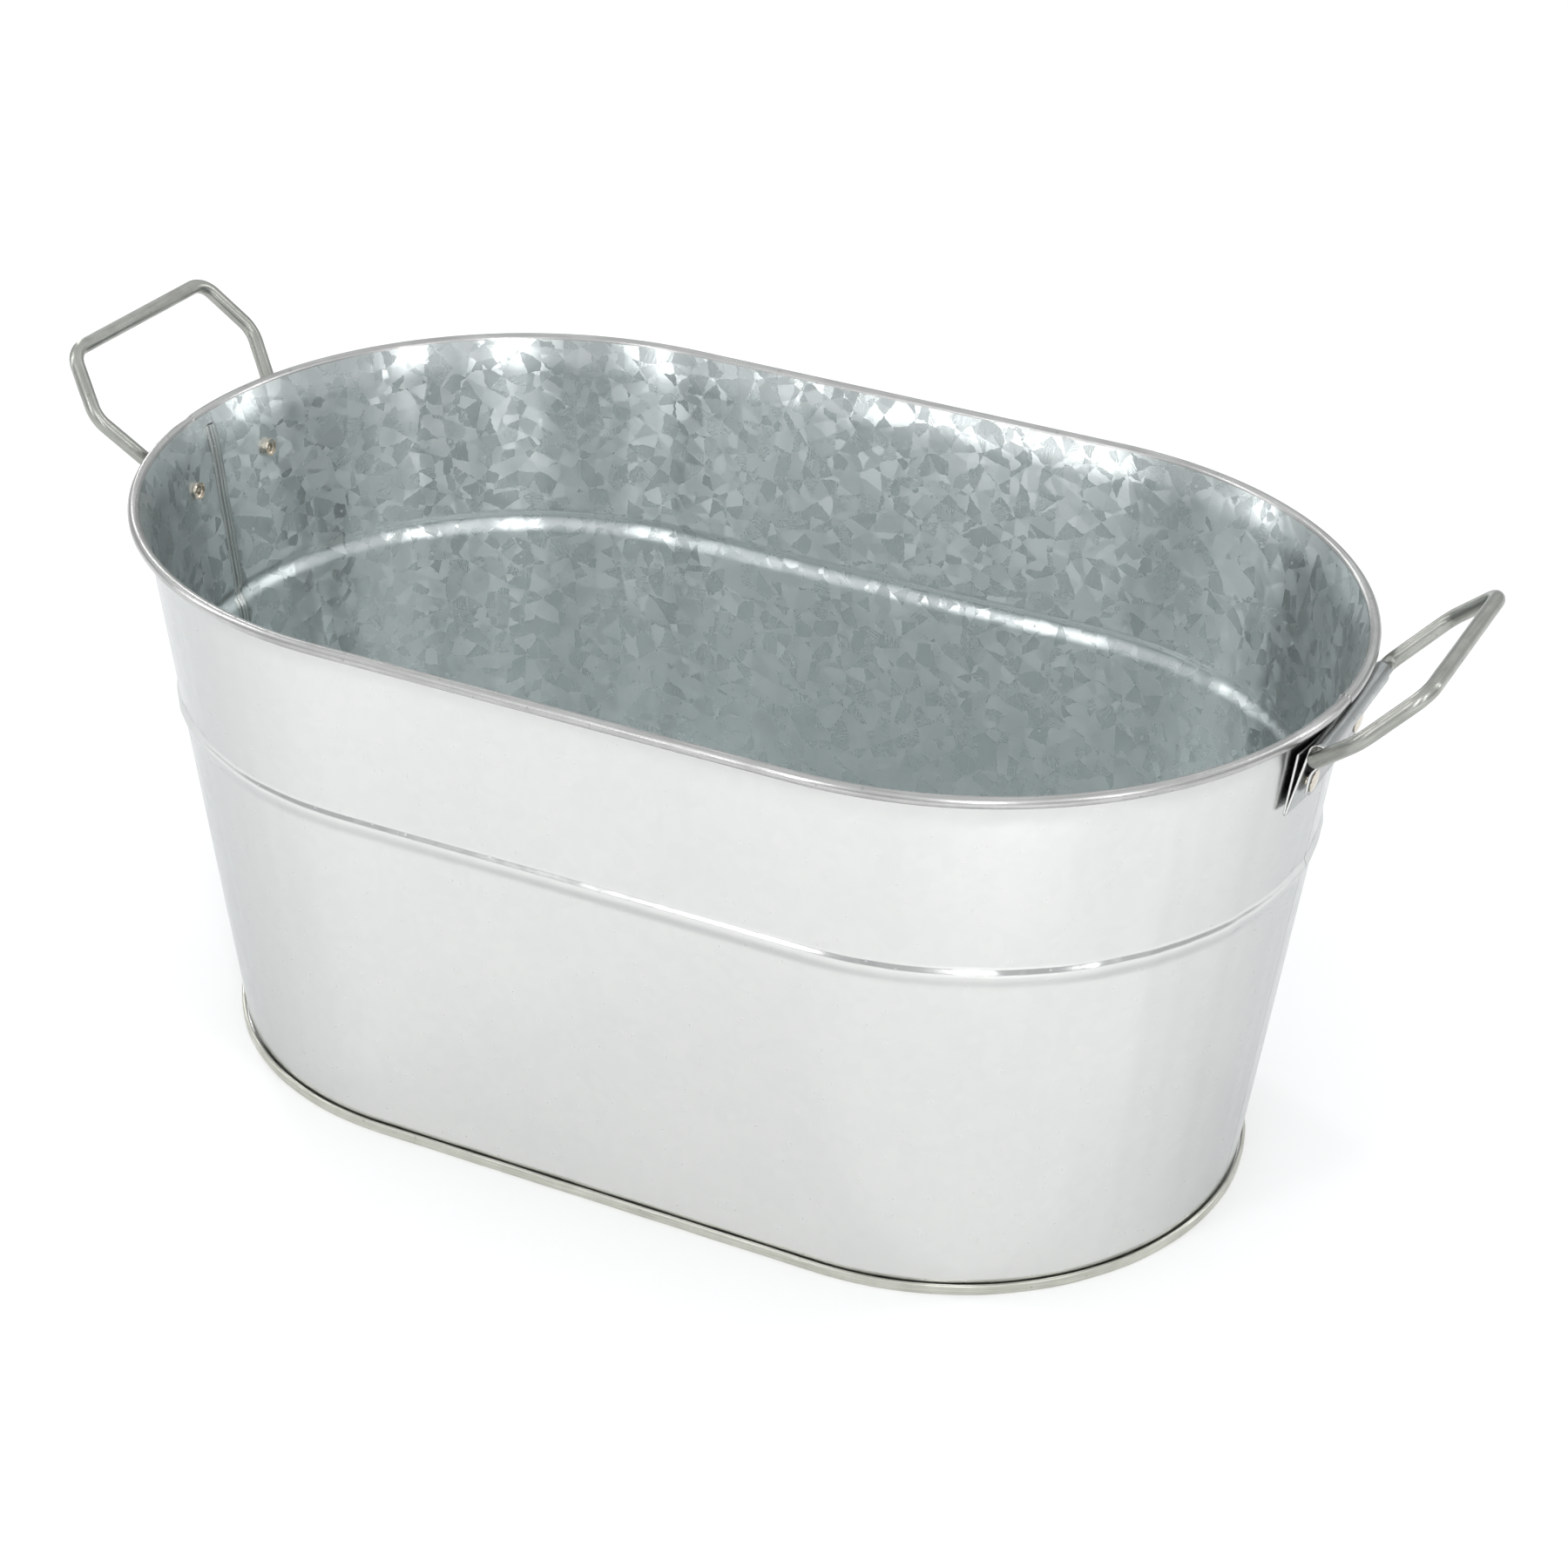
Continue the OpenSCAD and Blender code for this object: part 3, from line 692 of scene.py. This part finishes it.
def roll_lap(start, stop):
    """A short stretch of roll that reaches over the other half's end."""
    middle = roll_size - SHEET / 2
    outline = both_sides(arc((roll_path, roll_z), middle, 178, -112, 30), SHEET)
    way = oval_way(start, stop, 400)
    return patch(sweep(outline, way), 2, sheet_flat(way, outline), round_columns=True,
                 ends=True)


def wall_half(name, node, start, stop, strips, tuck=False):
    """The swept sheet of one half with its seam strips."""
    way = oval_way(start, stop)
    grid = sweep(wall_outline, way, wall_push)
    if tuck:
        grid = tuck_roll(grid, way)
    wall = patch(grid, wall_finish, sheet_flat(way, wall_outline), round_columns=True,
                 ends=True)
    make_piece(name, [wall] + strips, [outside_zinc, inside_zinc, rim_metal], "tub",
               "galvanised_sheet", node)


wall_half("wall_front_half", "front_wall", 180 - lock_turn, 360 + lock_turn,
          [seam_strip(side, 1.0 * MM, lock_y * 0.8, 0.3 * MM) for side in (-1, 1)],
          tuck=True)
wall_half("wall_back_half", "back_wall", lock_turn + 0.1, 180 - lock_turn - 0.1,
          [seam_strip(side, 1.7 * MM, lock_y * 1.25, 0.2 * MM) for side in (-1, 1)]
          + [roll_lap(-LAP_TURN, lock_turn + 0.3),
             roll_lap(180 - lock_turn - 0.3, 180 + LAP_TURN)])

# %% [markdown]
# ## The floor and the folded foot
# The floor is one pan. Its edge turns down inside the wall, out under it, up, and over the
# wall's own hook, which makes the narrow ring that the tub stands on. The same sweep
# carries this outline all the way round, from the middle of the floor to the last fold.

# %% Floor pan
FLOOR_TOP = 0.004
FLOOR_EDGE = 0.118        # radius at which the flat floor ends
SAG = 0.3 * MM
skirt_r = base_r - SHEET - 0.05 * MM


def pan_line():
    """Middle line of the pan: the floor, the skirt, the lip, the upstand and the return.
    The floor sags a little: the drop is 1 - (r / edge)^2 of its greatest."""
    r = np.linspace(0, FLOOR_EDGE, 14)
    sag = SAG * (1 - (r / FLOOR_EDGE) ** 2)
    floor = np.stack([r, FLOOR_TOP - SHEET / 2 - sag], -1)
    edge = rounded([floor[-1], (skirt_r + 0.4 * MM, FLOOR_TOP - SHEET / 2),
                    (skirt_r, SHEET / 2), (foot_r - SHEET / 2, SHEET / 2),
                    (foot_r - SHEET / 2, foot_height - SHEET / 2),
                    (foot_r - 1.35 * MM, foot_height - SHEET / 2),
                    (foot_r - 1.35 * MM, 1.4 * MM)],
                   [0.9 * MM, 0.6 * MM, 0.6 * MM, 0.5 * MM, 0.35 * MM], 6)
    return np.vstack([floor[:-1], edge])


pan_outline = both_sides(pan_line(), SHEET)
around = oval_way(0, 360, 80, 40)[:-1]
on_floor = pan_outline[:, 0] < skirt_r - 0.5 * MM


def foot_push(centre, angle, _height):
    """The folded foot was rolled on: its face wanders by a tenth of a millimetre."""
    outer = pan_outline[:, 0] > base_r + MM
    return -0.00006 * (1 + np.sin(angle * 23 + centre * 160)) * outer


pan_grid = sweep(pan_outline, around, foot_push)
pan_flat = np.where(on_floor[None, :, None], pan_grid[..., :2],
                    sheet_flat(around, pan_outline))
pan = patch(pan_grid, np.where(on_floor, 0, 1), pan_flat, round_rows=True)
make_piece("floor_and_folded_foot", [pan], [floor_zinc, foot_metal], "tub",
           "galvanised_sheet", "floor_pan")

# %% [markdown]
# ## The handles
# Each handle is one length of wire bent six times into a loop. Its straight bar lies in
# the bracket; the arms spread to the middle bends and draw in to the grip. The middle line
# is straight runs joined by true arcs, and a circle is carried along it. Cold bending
# flattens the wire a little, so the circle is squashed towards the inside of each bend.

# %% Handle
WIRE_R = 0.0032
LOOP_CORNERS = np.array([  # away from the hinge, along the hinge, bend radius, in mm
    (0, -44, 5.5), (28, -55.5, 14), (57, -45, 10), (57, 45, 10), (28, 55.5, 14),
    (0, 44, 5.5)]) * MM
LEFT_RISE, RIGHT_RISE = math.radians(50), math.radians(44.5)


def bent_loop(corners, steps=14):
    """Middle line of a closed loop with arcs at its corners, and how bent it is (0 or 1
    at each point). An arc touches both runs at radius x tan(turn / 2) from the corner."""
    places, bent = [], []
    count = len(corners)
    for k in range(count):
        before, here, after = (corners[(k + d) % count, :2] for d in (-1, 0, 1))
        into, out = here - before, after - here
        into, out = into / np.linalg.norm(into), out / np.linalg.norm(out)
        turn = math.atan2(into[0] * out[1] - into[1] * out[0], into @ out)
        radius = corners[k, 2]
        touch = here - into * radius * math.tan(abs(turn) / 2)
        normal = np.array([-into[1], into[0]]) * np.sign(turn)
        angle = np.linspace(0, turn, steps)[:, None]
        swing = (np.cos(angle) * -normal + np.sin(angle)
                 * np.array([normal[1], -normal[0]]))
        places.append(touch + normal * radius + radius * swing)
        bent.append(np.sin(np.linspace(0, np.pi, steps)))
    return np.vstack(places), np.concatenate(bent)


def fill_straights(places, bent, longest=0.004):
    """Adds points along the straight runs, so that no step is longer than a few mm."""
    closed = np.vstack([places, places[:1]])
    bent = np.concatenate([bent, bent[:1]])
    far = along(closed)
    even = np.concatenate([np.linspace(a, b, max(2, int((b - a) / longest) + 1))[:-1]
                           for a, b in zip(far[:-1], far[1:])])
    return (np.stack([np.interp(even, far, closed[:, k]) for k in (0, 1)], -1),
            np.interp(even, far, bent), even)


def handle_wire(rise):
    """A circle carried along the loop: middle + r (cos t x side + sin t x upright)."""
    places, bent, far = fill_straights(*bent_loop(LOOP_CORNERS))
    step = np.roll(places, -1, 0) - np.roll(places, 1, 0)
    step /= np.linalg.norm(step, axis=1)[:, None]
    side = np.stack([step[:, 1], -step[:, 0]], -1)
    t = np.linspace(0, 2 * np.pi, 33)[:-1]
    squash = 1 - 0.05 * bent[:, None]
    flat_way = places[:, None, :] + WIRE_R * squash[..., None] * np.cos(t)[None, :, None] \
        * side[:, None, :]
    lift = WIRE_R * np.sin(t)[None, :] * np.ones((len(places), 1))
    reach, across = flat_way[..., 0], flat_way[..., 1]
    c, s = math.cos(rise), math.sin(rise)
    points = np.stack([hinge_x + c * reach - s * lift, across,
                       hinge_z + s * reach + c * lift], -1)
    flat = np.stack(np.broadcast_arrays(far[:, None], WIRE_R * t[None, :]), -1)
    return points, flat


for name, rise, place in (("left_handle", LEFT_RISE, at_left),
                          ("right_handle", RIGHT_RISE, np.copy)):
    points, flat = handle_wire(rise)
    make_piece(name + "_wire", [patch(place(points), 0, flat, round_rows=True,
                                      round_columns=True)],
               [wire_metal], name, "handle_wire", name)

# %% [markdown]
# ## The brackets
# Each bracket is one strip of sheet folded over the handle's bar. From its top edge the
# back leg goes down beside the wall, folds at the bottom, comes up as the middle leg,
# passes over the bar as a sleeve, and goes down again as a narrower front flap that the
# rivets hold. The strip is a grid of its middle surface: rows along the strip, columns
# along the hinge. The corners beside the flap are cut away so that the handle's arms can
# swing, and a Solidify modifier gives the sheet its thickness and its bright cut edge.

# %% Bracket
STRIP = 0.00075           # thickness of the bracket's sheet
BRACKET_WIDTH = 0.076
BRACKET_DROP = 0.041      # lowest fold below the top of the rim
BACK_LEG = 0.0275         # the back leg's top above the lowest fold
BACK_GAP = 0.03 * MM      # between the back leg and the wall
FOLLOW = 0.62             # how closely the back leg follows the round wall
FOLD_R = 0.42 * MM
FOLD_UP = 0.0012          # the fold's centre above its lowest line
FOLD_STRETCH = 1.9        # the fold is this much deeper than a half circle
SLEEVE_CLEAR = 0.00008
LIP_ANGLE = 10.0          # the sleeve's ends stop this far above level
FLAP_WIDTH = 0.066
FLAP_OFF = 0.0022         # between the flap and the wall
KNEE_UP = 0.0057          # the flap's bend above the rivets
FLAP_DOWN = 0.007         # the flap's end below the rivets
CORNER_LIFT = 0.0045      # how far the flap's lower corners are rounded up,
CORNER_FROM = 0.72        # starting at this share of its half width
LEG_ROWS, FOLD_ROWS, UP_ROWS, OVER_ROWS = 9, 7, 14, 20
sleeve_r = WIRE_R + SLEEVE_CLEAR + STRIP / 2
bracket_low = rim_top - BRACKET_DROP
lip_row = LEG_ROWS + (FOLD_ROWS - 2) + (UP_ROWS - 2) + OVER_ROWS - 1


def fall_back(y, z):
    """How far the round wall falls back from its nose, times how closely the leg follows."""
    radius = wall_radius(z) + SHEET / 2
    return FOLLOW * (radius - np.sqrt(radius ** 2 - y ** 2))


def bracket_section(y):
    """The strip's middle line at one place along the hinge, as (x, z)."""
    def leg(z):
        """Where the back leg lies at a height: the wall's face plus a small gap."""
        return (end_x + wall_radius(z) + SHEET / 2 + (STRIP / 2 + BACK_GAP)
                - fall_back(y, z))
    corner = max(0.0, abs(y) / (FLAP_WIDTH / 2) - CORNER_FROM) / (1 - CORNER_FROM)
    fold_z = bracket_low + FOLD_UP
    down = np.linspace(bracket_low + BACK_LEG, fold_z, LEG_ROWS)
    back_leg = np.stack([leg(down), down], -1)
    fold = arc((leg(bracket_low) + FOLD_R, fold_z), FOLD_R, 180, 360, FOLD_ROWS)
    fold[:, 1] = fold_z + (fold[:, 1] - fold_z) * FOLD_STRETCH
    up_leg = np.linspace(fold[-1], (hinge_x - sleeve_r, hinge_z), UP_ROWS)[1:-1]
    over = arc((hinge_x, hinge_z), sleeve_r, 180, LIP_ANGLE, OVER_ROWS)
    knee, foot = (
        np.array([end_x + wall_radius(z) + SHEET / 2 + FLAP_OFF + STRIP / 2, z])
        for z in (rivet_z + KNEE_UP, rivet_z - FLAP_DOWN + CORNER_LIFT * corner ** 2))
    to_hinge = np.array([hinge_x, hinge_z]) - knee
    leave = math.degrees(math.atan2(to_hinge[1], to_hinge[0])
                         - math.asin(sleeve_r / np.linalg.norm(to_hinge))) - 90
    under = arc((hinge_x, hinge_z), sleeve_r, LIP_ANGLE, leave, 9)[1:]
    flap = rounded([under[-1], knee, foot], [2.0 * MM], 9)[1:]
    flap = np.vstack([flap[:-1], np.linspace(flap[-2], foot, 6)[1:]])
    return np.vstack([back_leg, fold[1:-1], up_leg, over, under, flap])


def bracket_sheet(place):
    """The strip's middle surface, without the corners that the arms need."""
    edge = FLAP_WIDTH / 2
    y = np.concatenate([np.linspace(-BRACKET_WIDTH / 2, -edge, 4),
                        np.linspace(-edge, edge, 41)[1:-1],
                        np.linspace(edge, BRACKET_WIDTH / 2, 4)])
    lines = np.stack([bracket_section(value) for value in y], 1)
    grid = np.stack([lines[..., 0], np.broadcast_to(y, lines.shape[:2]), lines[..., 1]], -1)
    middle = np.abs((y[:-1] + y[1:]) / 2) < edge
    row = np.arange(len(lines) - 1)
    keep = middle[None, :] | (row[:, None] < lip_row)
    flat = np.stack(np.broadcast_arrays(y[None, :], along(lines[:, 20])[:, None]), -1)
    return patch(place(grid), 0, flat, turn_out=False, keep=keep)


def solidify(piece, thickness):
    """Thickness to both sides of the middle surface, with the last finish on its edge."""
    modifier = piece.modifiers.new("thickness", "SOLIDIFY")
    modifier.thickness = thickness
    modifier.offset = 0.0
    modifier.use_even_offset = True
    modifier.material_offset_rim = 1


for side, place in SIDES:
    sheet = make_piece(side + "_bracket_strip", [bracket_sheet(place)],
                       [bracket_metal, edge_metal], "tub", "galvanised_sheet",
                       side + "_bracket")
    solidify(sheet, STRIP)

# %% [markdown]
# ## The rivets
# Four tubular rivets go through bracket and wall. Outside, each has a low domed head;
# inside, its tube is flared over into a small ring with a hole in it. The half profile is
# turned about the rivet's axis, which stands square to the wall.

# %% Rivets
RIVET_HEAD_R = 0.0047
RIVET_SHANK_R = 0.0022
HEAD_RISE = 0.00125       # height of the head's middle,
HEAD_FALL = 0.00075       # and how much lower its edge is
RING_R = 0.0026           # middle of the flared ring, and the radius of its roll
RING_ROLL = 0.0012
RING_DEPTH = 0.75         # the roll is squashed to this share along the axis
BORE_R = 0.0013
lean = math.atan(wall_slope)
wall_nose = end_x + wall_radius(rivet_z) + SHEET / 2
head_at = FLAP_OFF * math.cos(lean) + STRIP
ring_at = -0.00355
ring_middle = ring_at - 0.00015


def rivet_profile():
    """Distance along the axis and radius, from the head's middle to the tube's bottom."""
    dome = np.linspace(0, 1, 12)
    head = np.stack([head_at + HEAD_RISE - HEAD_FALL * dome ** 2.4, RIVET_HEAD_R * dome], -1)
    lip = rounded([head[-1], (head_at + 0.00005, RIVET_HEAD_R + 0.00005),
                   (head_at, RIVET_SHANK_R), (ring_at, RIVET_SHANK_R)],
                  [0.25 * MM, 0.2 * MM], 5)[1:]
    ring = arc((ring_middle, RING_R), RING_ROLL, 60, 300, 18)
    ring[:, 0] = ring_middle - (ring[:, 0] - ring_middle) * RING_DEPTH
    bore = np.array([(ring_at + 0.0004, BORE_R), (0.0005, BORE_R), (0.001, 0.0)])
    return np.vstack([head, lip[:-1], ring, bore])


def rivet(y, place):
    """The profile turned about the axis: axis point + radius (cos t x side + sin t x up)."""
    profile = rivet_profile()
    t = np.linspace(0, 2 * np.pi, 41)[:-1]
    axis = np.array([math.cos(lean), 0, -math.sin(lean)])
    side = np.array([0.0, 1.0, 0.0])
    upright = np.array([math.sin(lean), 0, math.cos(lean)])
    start = np.array([wall_nose, y, rivet_z])
    points = (start + profile[:, None, :1] * axis
              + profile[:, None, 1:] * (np.cos(t)[None, :, None] * side
                                        + np.sin(t)[None, :, None] * upright))
    flat = np.stack(np.broadcast_arrays(profile[:, 1:] + 0 * t, RIVET_HEAD_R * t[None]), -1)
    return patch(place(points), 0, flat, round_columns=True)


for side, place in SIDES:
    for where, sign in (("front", -1), ("back", 1)):
        make_piece("%s_%s_tubular_rivet" % (side, where),
                   [rivet(sign * RIVET_APART / 2, place)], [rivet_metal], "tub", "rivet",
                   "%s_%s_rivet" % (side, where), sharp=50)

# %% [markdown]
# ## The hoop inside the rim
# The wire inside the roll is a plain hoop and already has its shape in the frame, so the
# frame's own piece stays and only gets the wire's finish.

# %% Rim wire
hoop = frame["nodes"]["rim_wire"]
plain = bpy.data.materials.new("hoop_wire")
plain.use_nodes = True
plain_shader = plain.node_tree.nodes["Principled BSDF"]
plain_shader.inputs["Metallic"].default_value = 1.0
plain_grain = add(plain.node_tree, "ShaderNodeTexNoise",
                  {"Vector": add(plain.node_tree, "ShaderNodeTexCoord").outputs["Object"],
                   "Scale": 300.0})
plain.node_tree.links.new(spread(plain.node_tree, plain_grain.outputs["Fac"], 0.35, 0.6),
                          plain_shader.inputs["Roughness"])
plain_shader.inputs["Base Color"].default_value = (0.5, 0.5, 0.47, 1.0)
for hoop_slot in hoop.material_slots:
    hoop_slot.material = plain

# %% [markdown]
# ## Studio
# Metal shows what is round it. A pale floor fills the outside of the wall with light. A
# very wide sun overhead lights it softly, tall narrow lights round the tub make upright
# highlights, and a small pool of light on the floor shows in the wall as a pale band. The
# rest of the room is a soft grey, so that the inside of the tub falls to blue-grey.

# %% Floor and lights
FLOOR_REACH = 30.0        # half the floor's side, wide enough to have no edge in view
floor_mesh = bpy.data.meshes.new("studio_floor")
floor_mesh.from_pydata([(x * FLOOR_REACH, y * FLOOR_REACH, 0)
                        for x, y in ((-1, -1), (1, -1), (1, 1), (-1, 1))],
                       [], [(0, 1, 2, 3)])
studio_floor = bpy.data.objects.new("studio_floor", floor_mesh)
bpy.context.scene.collection.objects.link(studio_floor)
pale = bpy.data.materials.new("pale_floor")
pale.use_nodes = True
pale_shader = pale.node_tree.nodes["Principled BSDF"]
pale_shader.inputs["Base Color"].default_value = (0.96, 0.96, 0.96, 1)
pale_shader.inputs["Roughness"].default_value = 0.9
floor_mesh.materials.append(pale)

world = bpy.data.worlds.new("studio")
world.use_nodes = True
room = world.node_tree.nodes["Background"]
room.inputs["Color"].default_value = (0.63, 0.65, 0.66, 1)
room.inputs["Strength"].default_value = 0.85
bpy.context.scene.world = world


def soft_light(name, place, target, size, power):
    """A rectangular area light that faces a target."""
    data = bpy.data.lights.new(name, "AREA")
    data.shape = "RECTANGLE"
    data.size, data.size_y = size
    data.energy = power
    light = bpy.data.objects.new(name, data)
    away = np.array(place, float) - np.array(target, float)
    away /= np.linalg.norm(away)
    side = np.cross((0, 0.01, 1), away)
    side /= np.linalg.norm(side)
    pose = np.eye(4)
    pose[:3] = np.stack([side, np.cross(away, side), away, place], 1)
    light.matrix_world = Matrix(pose.tolist())
    bpy.context.scene.collection.objects.link(light)


overhead = bpy.data.lights.new("overhead", "SUN")
overhead.energy = 1.2
overhead.angle = 2.4
overhead_light = bpy.data.objects.new("overhead", overhead)
bpy.context.scene.collection.objects.link(overhead_light)

# Tall narrow lights stand round the tub: direction, distance, width and power of each.
LAMPS = [(200, 1.9, 0.16, 6.5), (252, 2.0, 0.10, 5.5), (300, 1.9, 0.14, 7.5),
         (335, 2.0, 0.10, 5.5), (35, 2.0, 0.12, 6.0), (145, 2.0, 0.12, 5.0)]
LAMP_LOW, LAMP_HIGH = 0.3, 1.9
for lamp, (turn, far, wide, power) in enumerate(LAMPS):
    at = np.array([far * math.cos(math.radians(turn)), far * math.sin(math.radians(turn)),
                   (LAMP_LOW + LAMP_HIGH) / 2])
    soft_light("strip_%d" % lamp, at, (0, 0, 0.15), (wide, LAMP_HIGH - LAMP_LOW), power)
# The pool of light lies on the floor by the right front curve.
pool = bpy.data.lights.new("floor_pool", "SPOT")
pool.energy = 26
pool.spot_size = math.radians(20)
pool.spot_blend = 1.0
pool.shadow_soft_size = 0.05
pool_light = bpy.data.objects.new("floor_pool", pool)
pool_light.location = (0.42, -0.48, 1.6)
bpy.context.scene.collection.objects.link(pool_light)
bpy.context.scene.view_settings.view_transform = "Standard"
